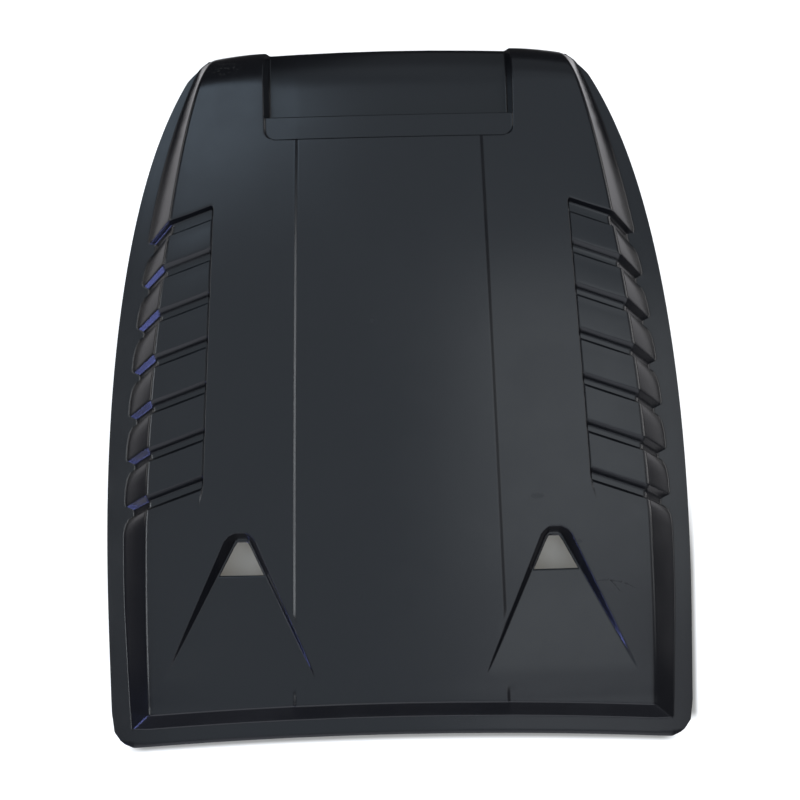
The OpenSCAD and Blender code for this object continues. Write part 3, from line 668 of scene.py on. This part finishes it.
# %% Faces
def over_hole():
    """Whether each cell of the loop is open: its row and its column both cross a vent hole."""
    cell_row = np.minimum(row_source[:-1], row_source[1:])
    within_first = (row_source[:-1] == row_source[1:]) & (cell_row == hole_rows[0])
    open_row = (cell_row >= hole_rows[0]) & (cell_row < hole_rows[1]) & ~within_first
    first = np.concatenate([side_of, side_of[::-1]])[column_source]
    second = np.roll(first, -1)
    low, high = np.minimum(first, second), np.maximum(first, second)
    open_column = (low >= COL["hole_inner"]) & (high <= COL["hole_outer"]) & (low != high)
    return open_row[:, None] & open_column[None, :]


def joining_walls(outer, inner, edges, down, right, turn):
    """Quads between the skins along marked edges, from (r, c) to (r + down, c + right)."""
    r, c = np.nonzero(edges)
    walls = np.stack([outer[r, c], outer[r + down, c + right],
                      inner[r + down, c + right], inner[r, c]], axis=1)
    return walls[:, ::turn]


def grid_faces():
    """Quads of the closed loop without the hole cells, and the walls that close every edge where
    a solid cell has an open neighbour."""
    row_total, column_total = skin.shape[:2]
    half_total = column_total // 2
    index = np.arange(row_total * column_total).reshape(row_total, column_total)
    following = np.roll(index, -1, axis=1)
    quads = np.stack([index[:-1], following[:-1], following[1:], index[1:]], axis=2)
    keep = ~over_hole()
    outer, inner = index[:, :half_total], index[:, ::-1][:, :half_total]
    solid = np.zeros((row_total + 1, half_total + 1), bool)
    solid[1:-1, 1:-1] = keep[:, :half_total - 1]
    ahead, behind = solid[:-1, 1:-1], solid[1:, 1:-1]
    on_left, on_right = solid[1:-1, :-1], solid[1:-1, 1:]
    inside = np.ones(half_total, bool)
    inside[[0, -1]] = False  # at the rims the loop closes by itself
    return np.concatenate([
        quads[keep][:, ::-1],
        joining_walls(outer, inner, behind & ~ahead, 0, 1, 1),
        joining_walls(outer, inner, ahead & ~behind, 0, 1, -1),
        joining_walls(outer, inner, on_right & ~on_left & inside, 1, 0, -1),
        joining_walls(outer, inner, on_left & ~on_right & inside, 1, 0, 1)])


faces = grid_faces()
print(len(faces), "faces")

# %% Points in metres, about the CAD model's middle
middle_y = (FRONT + foot_y[-1]) / 2
points = (skin.reshape(-1, 3) - np.array([0, middle_y, 0])) * MM
used = np.unique(faces)
renumber = np.zeros(len(points), int)
renumber[used] = np.arange(len(used))
points, faces = points[used], renumber[faces]
print(len(points), "points are used")

# %% [markdown]
# ## Mesh
#
# The flats of the moulding have to look flat right up to their rounded edges. Plain smooth shading
# would bend them towards each edge. So each vertex normal is the sum of its faces' normals times
# their areas: a large flat outweighs the narrow faces of the arc beside it.


# %% Making the mesh
def area_weighted_normals(points, faces):
    """Sum over the faces at a vertex of the cross product of their diagonals, made unit length."""
    corner = points[faces]
    area_normal = np.cross(corner[:, 2] - corner[:, 0], corner[:, 3] - corner[:, 1])
    normal = np.zeros_like(points)
    for k in range(faces.shape[1]):
        np.add.at(normal, faces[:, k], area_normal)
    return normal / np.maximum(np.linalg.norm(normal, axis=1, keepdims=True), TINY_AREA)


def make_mesh(name, points, faces, material):
    """A smooth mesh object of quads with normals weighted by face area."""
    mesh = bpy.data.meshes.new(name)
    mesh.vertices.add(len(points))
    mesh.vertices.foreach_set("co", points.astype(np.float32).ravel())
    mesh.loops.add(faces.size)
    mesh.loops.foreach_set("vertex_index", faces.astype(np.int32).ravel())
    mesh.polygons.add(len(faces))
    loop_start = np.arange(0, faces.size, faces.shape[1], dtype=np.int32)
    mesh.polygons.foreach_set("loop_start", loop_start)
    mesh.update(calc_edges=True)
    mesh.validate()
    mesh.polygons.foreach_set("use_smooth", np.ones(len(mesh.polygons), bool))
    mesh.normals_split_custom_set_from_vertices(area_weighted_normals(points, faces).tolist())
    mesh.materials.append(material)
    return add_object(name, mesh)


def add_object(name, data):
    """An object for a mesh, lamp or camera, linked to the scene."""
    made = bpy.data.objects.new(name, data)
    bpy.context.scene.collection.objects.link(made)
    return made


print("the skin spans", np.round(np.ptp(points, axis=0), 4), "metres")

# %% [markdown]
# ## Plastic
#
# The real shell is satin black plastic straight from a grained mould, with a few marks of use. An
# image texture could hold those marks, but it would fix them to one picture's sharpness. Noise and
# ellipses worked out from each point's own coordinates stay sharp at any distance. To write them
# as plain sums, a small class stands for a shader socket and adds a Math node per operation.


# %% Shader sockets as values
class Value:
    """A shader socket that can be used in sums: each operation adds one Math node."""

    def __init__(self, tree, socket):
        self.tree, self.socket = tree, socket

    def other(self, name):
        """Another output of the same node."""
        return Value(self.tree, self.socket.node.outputs[name])

    def math(self, operation, *others, reverse=False):
        """The Math node operation(self, other), or operation(other, self) if reversed."""
        terms = [self, *others][::-1] if reverse else [self, *others]
        return node(self.tree, "Math", dict(enumerate(terms)), operation=operation)

    def __add__(self, other):
        return self.math("ADD", other)

    def __sub__(self, other):
        return self.math("SUBTRACT", other)

    def __mul__(self, other):
        return self.math("MULTIPLY", other)

    def __rsub__(self, other):
        return self.math("SUBTRACT", other, reverse=True)

    __radd__, __rmul__ = __add__, __mul__

    def smooth(self, low, high):
        """0 below low, 1 above high and 3t^2 - 2t^3 between: a Map Range node."""
        sockets = {"From Min": low, "From Max": high, "Value": self}
        return node(self.tree, "MapRange", sockets, "Result", interpolation_type="SMOOTHSTEP")


def fill(tree, filled, sockets):
    """Give each named or numbered input of a node its number, or the link if it is a Value."""
    for name, value in sockets.items():
        if isinstance(value, Value):
            tree.links.new(value.socket, filled.inputs[name])
        else:
            filled.inputs[name].default_value = value


def node(tree, kind, sockets=(), output=0, **settings):
    """A new node of a kind: its settings first, then its sockets, and one output as a Value."""
    made = tree.nodes.new("ShaderNode" + kind)
    for name, setting in settings.items():
        setattr(made, name, setting)
    fill(tree, made, dict(sockets))
    return Value(tree, made.outputs[output])


print("operators:", [name for name in vars(Value) if name.startswith("__r")])


# %% Patterns on the object's own coordinates
def own_place(tree):
    """The object's own coordinates in metres: all three, then x (across) and y (ahead)."""
    place = node(tree, "TexCoord", output="Object")
    across = node(tree, "SeparateXYZ", {0: place})
    return place, across, across.other(1)


def noise(place, scale, detail, roughness=0.5):
    """Noise in cycles per metre of the object's own coordinates."""
    sockets = {"Scale": scale, "Detail": detail, "Roughness": roughness, "Vector": place}
    return node(place.tree, "TexNoise", sockets, "Fac")


def colour_mix(share, low, high):
    """Colour low where share is 0 and high where it is 1, mixed in a straight line between."""
    sockets = {"Factor": share, "A": (*low, 1), "B": (*high, 1)}
    return node(share.tree, "Mix", sockets, "Result", data_type="RGBA")


def patch(across, ahead, x, y, wide, long):
    """1 - smooth(((across - x) / wide)^2 + ((ahead - y) / long)^2), smooth from 0.2 to 1: an
    ellipse round (x, y) that fades to its edge."""
    right, front = (across - x) * (1 / wide), (ahead - y) * (1 / long)
    return 1 - (right * right + front * front).smooth(0.2, 1)


def arc(across, ahead, x, y, radius, width):
    """1 - smooth(|distance to (x, y) - radius|): 1 on a circle, 0 further off than the width."""
    right, front = across - x, ahead - y
    away = (right * right + front * front).math("POWER", 0.5) - radius
    return 1 - away.math("ABSOLUTE").smooth(width * 0.3, width)


print("patterns ready")

# %% [markdown]
# The finish is a very dark cool base under a fine grain that bends the light a little. Its
# roughness wanders where the surface has been wiped, and rises on the marks in the photo: two
# curved scuffs beside the right vent and dull spots on the top. Dust on the left arm's nose greys
# its colour.

# %% Marks on the plastic, in metres
SCUFFS = [((0.3, -0.358, 0.084, 0.0016), (0.318, -0.279, 0.034, 0.02)),
          ((0.268, -0.322, 0.062, 0.0014), (0.313, -0.283, 0.02, 0.016))]
SPOTS = [(0.203, -0.148, 0.012, 0.005), (0.095, -0.48, 0.02, 0.006),
         (0.262, -0.216, 0.006, 0.004), (-0.03, 0.11, 0.004, 0.004)]
DUST = (-0.238, 0.486, 0.03, 0.016)
BLACK, DUSTY = (0.0062, 0.0066, 0.0088), (0.024, 0.024, 0.024)
SATIN, WIPED, WORN, DULL = 0.22, 0.04, 0.3, 0.3
print(len(SCUFFS), "scuffs and", len(SPOTS), "spots")


# %% The plastic
def satin_plastic():
    """Roughness: satin + wiped noise * 0.04 + (scuffs * worn noise + spots * 0.3) * 0.3."""
    material = bpy.data.materials.new("satin_black_plastic")
    material.use_nodes = True
    tree = material.node_tree
    place, across, ahead = own_place(tree)
    wiped = noise(place, scale=9, detail=4, roughness=0.6).smooth(0.42, 0.66)
    worn = noise(place, scale=260, detail=3).smooth(0.35, 0.6)
    scuffs = sum(arc(across, ahead, *circle) * patch(across, ahead, *oval)
                 for circle, oval in SCUFFS)
    spots = sum(patch(across, ahead, *oval) for oval in SPOTS)
    specks = noise(place, scale=240, detail=4).smooth(0.48, 0.7)
    dust = patch(across, ahead, *DUST) * specks
    grain = noise(place, scale=900, detail=2) * 0.5 + noise(place, scale=60, detail=2)
    bump = {"Strength": 0.05, "Distance": 0.0003, "Height": grain}
    fill(tree, tree.nodes["Principled BSDF"], {
        "Specular IOR Level": 0.5,
        "Base Color": colour_mix(dust, BLACK, DUSTY),
        "Roughness": SATIN + wiped * WIPED + (scuffs * worn + spots * DULL) * WORN,
        "Normal": node(tree, "Bump", bump, "Normal"),
    })
    return material


plastic = satin_plastic()
shell = make_mesh("scoop_skin", points, faces, plastic)
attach(shell, "root")
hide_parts("scoop_shell")
print("shell:", len(shell.data.polygons), "faces,", len(plastic.node_tree.nodes), "nodes")

# %% [markdown]
# ## Floor
#
# The scoop lies on white. The floor has a thin painted shadow at the shell's rear and right
# edges, and painted grey shade under the shell, seen through the vent holes. More light would
# bleach the plastic, so the floor glows a little for the camera alone. The satin plastic also
# mirrors the floor, and there a plain white one would wash out the side slopes. So glossy rays
# see a painted reflection: a sheet that glows beside the two long edges, more on the right, and
# is dark further out, like lit paper in a dim room. Light Path tells the rays apart.

# %% Colours and places on the floor, in metres
# glow and base colour of the floor, first where painted shade lies under the shell, then open
PAINTED_SHADE_GLOW, GROUND_GLOW = (0.1, 0.094, 0.08), (0.75, 0.75, 0.75)
PAINTED_SHADE_GREY, GROUND_GREY = (0.42, 0.41, 0.4), (0.8, 0.8, 0.8)
# painted reflection: colour of the glowing sheet that only glossy rays see
REFLECTION_SHEET_COLOUR = (0.97, 0.96, 1.0)
PAINTED_SHADE_SIDE, PAINTED_SHADE_END = (0.28, 0.33), (0.38, 0.46)
REAR_LINE, REAR_LINE_BOW, RIGHT_LINE = -0.506, 0.069, 0.4365  # the shell's edges on the floor
SHADOW_REAR, SHADOW_REAR_SIDE, SHADOW_REAR_FRONT = (0.002, 0.012), (0.385, 0.425), (-0.49, -0.48)
SHADOW_RIGHT, SHADOW_RIGHT_FRONT = (0.001, 0.011), (-0.28, -0.12)
SHADOW_RIGHT_REAR, RIGHT_HALF = (-0.5, -0.48), (-0.01, 0.01)
SHEET_RIGHT, SHEET_LEFT = (0.42, 0.8), (0.5, 0.64)  # pairs: where a change starts and ends
SHEET_REAR, SHEET_FRONT = (-0.5, -0.4), (0.49, 0.54)
SHELL_SIDE, SHELL_NOSE, NOSE_TAPER = (0.31, 0.37), (0.28, 0.42), 0.13
RIGHT_SHEET, SHEET_GLOW = 1.25, 0.05
FLOOR_HALF = 4.0
print("floor", 2 * FLOOR_HALF, "wide")


# %% What the floor shows
def contact_shadow(across, ahead):
    """(1 - smooth(distance past the edge)) * shares along it: behind the bowed rear edge, which
    lies at y = -0.506 - 0.069 x^2, and beyond the right edge."""
    past_rear = REAR_LINE - across * across * REAR_LINE_BOW - ahead
    rear = (1 - past_rear.smooth(*SHADOW_REAR)) * (
        1 - across.math("ABSOLUTE").smooth(*SHADOW_REAR_SIDE)) * (
        1 - ahead.smooth(*SHADOW_REAR_FRONT))
    past_right = across - RIGHT_LINE
    right = (1 - past_right.smooth(*SHADOW_RIGHT)) * (
        1 - ahead.smooth(*SHADOW_RIGHT_FRONT)) * ahead.smooth(*SHADOW_RIGHT_REAR)
    return rear.math("MAXIMUM", right * across.smooth(*RIGHT_HALF))


def painted_reflection_sheet(across, ahead):
    """Strength of the painted reflection that glossy rays see: (right share * 1.25 + left share) *
    share along * share outside the shell + 0.05.
    """
    aside, right = across.math("ABSOLUTE"), across.smooth(*RIGHT_HALF)
    outside = (aside + ahead.smooth(*SHELL_NOSE) * NOSE_TAPER).smooth(*SHELL_SIDE)
    sheet = (1 - across.smooth(*SHEET_RIGHT)) * right * RIGHT_SHEET + (
        1 - aside.smooth(*SHEET_LEFT)) * (1 - right)
    lengthwise = ahead.smooth(*SHEET_REAR) * (1 - ahead.smooth(*SHEET_FRONT))
    return sheet * lengthwise * outside + SHEET_GLOW


def pale_floor():
    """Matt white that glows for the camera, with painted grey shade under the shell and a painted
    contact shadow, and the painted reflection sheet for glossy rays: one Mix Shader picks by glossy
    ray, the next by camera ray."""
    material = bpy.data.materials.new("pale_floor")
    material.use_nodes = True
    tree = material.node_tree
    _, across, ahead = own_place(tree)
    beside = across.math("ABSOLUTE").smooth(*PAINTED_SHADE_SIDE)
    beyond = ahead.math("ABSOLUTE").smooth(*PAINTED_SHADE_END)
    # painted shade: 0 under the shell and in the contact shadow, 1 on the open floor
    lit = beside.math("MAXIMUM", beyond) * (1 - contact_shadow(across, ahead))
    ground = tree.nodes["Principled BSDF"]
    fill(tree, ground, {"Roughness": 0.9, "Emission Strength": 1.0,
                        "Emission Color": colour_mix(lit, PAINTED_SHADE_GLOW, GROUND_GLOW),
                        "Base Color": colour_mix(lit, PAINTED_SHADE_GREY, GROUND_GREY)})
    plain = node(tree, "BsdfDiffuse", {"Color": (*GROUND_GREY, 1)})
    # painted reflection: a glowing sheet that only glossy rays see
    sheet = node(tree, "Emission", {"Color": (*REFLECTION_SHEET_COLOUR, 1),
                                    "Strength": painted_reflection_sheet(across, ahead)})
    glossy = node(tree, "LightPath", output="Is Glossy Ray")
    unseen = node(tree, "MixShader", {"Fac": glossy, 1: plain, 2: sheet})
    seen = {"Fac": glossy.other("Is Camera Ray"), 1: unseen, 2: Value(tree, ground.outputs[0])}
    fill(tree, tree.nodes["Material Output"], {"Surface": node(tree, "MixShader", seen)})
    return material


corners = [(FLOOR_HALF * x, FLOOR_HALF * y, 0) for x, y in ((-1, -1), (1, -1), (1, 1), (-1, 1))]
floor_mesh = bpy.data.meshes.new("floor")
floor_mesh.from_pydata(corners, [], [(0, 1, 2, 3)])
floor_mesh.materials.append(pale_floor())
floor = add_object("floor", floor_mesh)
print("floor nodes:", len(floor_mesh.materials[0].node_tree.nodes))

# %% [markdown]
# ## Lights
#
# Dark satin plastic shows little but the soft lights that it mirrors, so each family of flats
# takes its tone from the light it faces. Two or three lamps can't give the top, the louvres' steps
# and slopes, the side slopes and the vents' walls each their own tone. Twelve large soft lights
# can: wide ones overhead for the top, low ones at the sides for the steep faces, and a blue one low
# at the left rear for the bluish gleam on the left louvres' steps.

# %% Lights
LIGHTS = {  # name: place, aimed at, width, power, colour, length, in metres and watts
    "ceiling": ((0, -0.4, 2.9), (0, -0.4, 0), 3.4, 36, (0.76, 0.88, 1.0), 4.8),
    "overhead_right": ((1.42, -0.27, 2.85), (1.42, -0.27, 0), 2.15, 9.6, (0.93, 0.97, 1.0), 1.6),
    "overhead_rear": ((1.42, -1.75, 2.85), (1.42, -1.75, 0), 2.15, 4.0, (0.97, 0.96, 1.0), 1.3),
    "ceiling_front": ((0, 2.55, 2.75), (0, 2.4, 0), 3.4, 3.2, (0.76, 0.88, 1.0), 1.1),
    "ahead_left": ((-1.0, 1.5, 2.6), (0, 0, 0), 1.0, 5.5, (0.62, 0.8, 1.0), 1.0),
    "ahead_right": ((0.9, 2.4, 1.5), (0, 0, 0), 2.4, 5.5, (0.8, 0.9, 1.0), 2.4),
    "behind": ((0, -2.6, 1.1), (0, 0, 0.2), 3.0, 18, (0.86, 0.9, 1.0), 1.7),
    "blue_window": ((-2.1, -2.3, 0.2), (-0.35, 0, 0.05), 1.5, 16, (0.3, 0.36, 1.0), 0.2),
    "left_strip": ((-2.15, -0.45, 2.2), (-0.14, -0.45, 0), 2.5, 21, (0.9, 0.95, 1.0), 0.45),
    "left_low": ((-2.6, 0.75, 0.75), (-0.4, 0.5, 0), 1.9, 9, (1.0, 0.98, 0.96), 0.5),
    "right_low": ((2.6, 0.5, 0.7), (0.4, 0.3, 0), 1.9, 12, (1.0, 0.98, 0.97), 0.5),
    "right_strip": ((2.4, 0.1, 1.35), (0.3, 0, 0), 2.4, 9.5, (0.95, 0.97, 1.0), 0.8),
}


def soft_light(name, place, target, width, power, colour, length):
    """A rectangular area light at a place, its -Z turned towards the target."""
    light = bpy.data.lights.new(name, "AREA")
    light.shape = "RECTANGLE"
    light.size, light.size_y, light.energy, light.color = width, length, power, colour
    made = add_object(name, light)
    made.location = place
    made.rotation_euler = (Vector(target) - Vector(place)).to_track_quat("-Z", "Y").to_euler()


for name, settings in LIGHTS.items():
    soft_light(name, *settings)
print(len(LIGHTS), "lights")


# %% The room
def studio_world():
    """Strength camera ray * 0.94 + 0.06: a dim room, and plain white where the camera sees it."""
    world = bpy.data.worlds.new("studio")
    world.use_nodes = True
    tree = world.node_tree
    seen = node(tree, "LightPath", output="Is Camera Ray")
    fill(tree, tree.nodes["Background"], {"Strength": seen * 0.94 + 0.06,
                                          "Color": (1.0, 1.0, 1.0, 1)})
    return world


bpy.context.scene.world = studio_world()
print("world:", bpy.context.scene.world.name)

# %% [markdown]
# ## Camera
#
# The photo looks straight down, and the camera is turned 1.3 degrees and stands 9 mm to the right
# of the middle. A camera that is only guessed makes every edge look misplaced. So these values
# were found by fitting pairs of points on the two halves, which are mirror images of each other.

# %% Camera
SENSOR, LENS = 36.0, 54.0
TURN, TIP = 1.319, -0.065  # degrees
CAMERA_X, CAMERA_HEIGHT = 0.00938, 1.7996

camera = bpy.data.cameras.new("camera")
camera.sensor_width, camera.lens = SENSOR, LENS
viewer = add_object("camera", camera)
looking = (Matrix.Rotation(math.radians(TURN), 4, "Z")
           @ Matrix.Rotation(math.radians(TIP), 4, "Y"))
place = Matrix.Translation((CAMERA_X, -middle_y * MM, CAMERA_HEIGHT))
viewer.matrix_world = place @ looking.transposed()
bpy.context.scene.camera = viewer
bpy.context.scene.view_settings.view_transform = "Standard"
print("camera", CAMERA_HEIGHT, "metres up")
